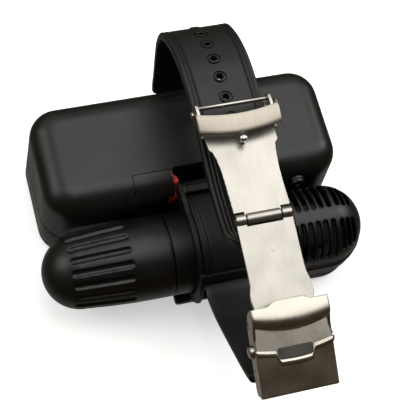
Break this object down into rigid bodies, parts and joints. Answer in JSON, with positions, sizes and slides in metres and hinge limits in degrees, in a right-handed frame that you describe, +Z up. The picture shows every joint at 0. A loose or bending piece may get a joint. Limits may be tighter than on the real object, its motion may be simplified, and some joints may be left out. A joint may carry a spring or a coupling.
{
  "type": "dive computer",
  "caption": "Wrist dive computer lying face down, with a battery tube, slotted sensor cage and a strap whose folding clasp is open.",
  "frame": {"origin": "on the plane the part lies on, under the middle of its bounding box", "axes": "+X runs along the battery tube from its screw cap to the sensor cage, +Y points from the strap's clasp to the housing's plain long side, +Z is up, away from the display"},
  "size_m": [0.1168, 0.1348, 0.0843],
  "materials": {
    "black_plastic": "fine satin texture",
    "grey_plastic": "matt",
    "red_plastic": "satin",
    "rubber": "matt",
    "steel": "fine brushed",
    "brass": "plain",
    "glass": "polished",
    "dark_glass": "gloss",
    "board_green": "solder mask",
    "cell_sleeve": "shrink sleeve",
    "sensor_grey": "matt"
  },
  "bodies": {
    "housing": {"back_shell": "black_plastic", "front_shell": "black_plastic", "case_seal": "rubber", "case_screw_1": "steel", "case_screw_2": "steel", "case_screw_3": "steel", "case_screw_4": "steel", "window_gasket": "rubber", "window": "glass", "display_module": "dark_glass", "main_board": "board_green", "buzzer": "black_plastic", "pressure_sensor": "steel", "coin_cell_holder": "grey_plastic", "battery_tube": "black_plastic", "battery_cell": "cell_sleeve", "contact_spring": "brass", "sensor_cage": "black_plastic", "sensor_tray": "black_plastic", "depth_sensor": "sensor_grey", "sensor_post": "black_plastic", "cable_gland": "black_plastic", "strap_bracket": "black_plastic", "far_spring_bar": "steel", "strap_b_inner": "rubber"},
    "upper_strap": {"strap_a": "rubber", "clasp_blade_1": "steel", "latch_stud": "steel", "buckle_bar": "steel", "bail_rivet_left": "steel", "bail_rivet_right": "steel", "clasp_pin": "steel"},
    "bail": {"safety_bail": "steel"},
    "middle_blade": {"clasp_blade_2": "steel"},
    "cover": {"clasp_cover": "steel", "cover_pin": "steel", "clasp_spring_bar": "steel"},
    "left_push_button": {"push_button_left": "steel"},
    "right_push_button": {"push_button_right": "steel"},
    "lower_strap": {"strap_b": "rubber"},
    "cap": {"battery_cap": "black_plastic", "cap_contact": "brass", "cap_seal": "rubber"},
    "catch": {"release_catch": "red_plastic"},
    "left_control": {"control_button_left": "grey_plastic"},
    "right_control": {"control_button_right": "grey_plastic"}
  },
  "joints": [
    {"name": "upper_strap_swing", "type": "hinge", "parent": "housing", "child": "upper_strap", "pos_m": [0.0065, 0.0554, 0.0285], "axis": [-1, 0, 0], "range_deg": [0, 15]},
    {"name": "bail_swing", "type": "hinge", "parent": "upper_strap", "child": "bail", "pos_m": [0.0065, 0.0229, 0.0802], "axis": [-1, 0, 0], "range_deg": [0, 75]},
    {"name": "clasp_fold", "type": "hinge", "parent": "upper_strap", "child": "middle_blade", "pos_m": [0.0065, -0.0141, 0.0774], "axis": [-1, 0, 0], "range_deg": [0, 150]},
    {"name": "cover_fold", "type": "hinge", "parent": "middle_blade", "child": "cover", "pos_m": [0.0065, -0.0461, 0.0705], "axis": [1, 0, 0], "range_deg": [0, 150]},
    {"name": "left_push", "type": "slide", "parent": "cover", "child": "left_push_button", "axis": [1, 0, 0], "range_m": [0, 0.0008], "stiffness_N_per_m": 600},
    {"name": "right_push", "type": "slide", "parent": "cover", "child": "right_push_button", "axis": [-1, 0, 0], "range_m": [0, 0.0008], "stiffness_N_per_m": 600},
    {"name": "lower_strap_swing", "type": "hinge", "parent": "housing", "child": "lower_strap", "pos_m": [0.0065, -0.0146, 0.0265], "axis": [1, 0, 0], "range_deg": [0, 25]},
    {"name": "cap_turn", "type": "hinge", "parent": "housing", "child": "cap", "pos_m": [-0.03, 0.0016, 0.0189], "axis": [-1, 0, 0], "range_deg": [0, 90]},
    {"name": "catch_slide", "type": "slide", "parent": "housing", "child": "catch", "axis": [-1, 0, 0], "range_m": [0, 0.0014], "stiffness_N_per_m": 300},
    {"name": "left_control_press", "type": "slide", "parent": "housing", "child": "left_control", "axis": [0, 0, 1], "range_m": [0, 0.0006], "stiffness_N_per_m": 800},
    {"name": "right_control_press", "type": "slide", "parent": "housing", "child": "right_control", "axis": [0, 0, 1], "range_m": [0, 0.0006], "stiffness_N_per_m": 800}
  ],
  "couplings": [
    {"joint": "cover_fold", "follows": "clasp_fold", "ratio": 1}
  ]
}
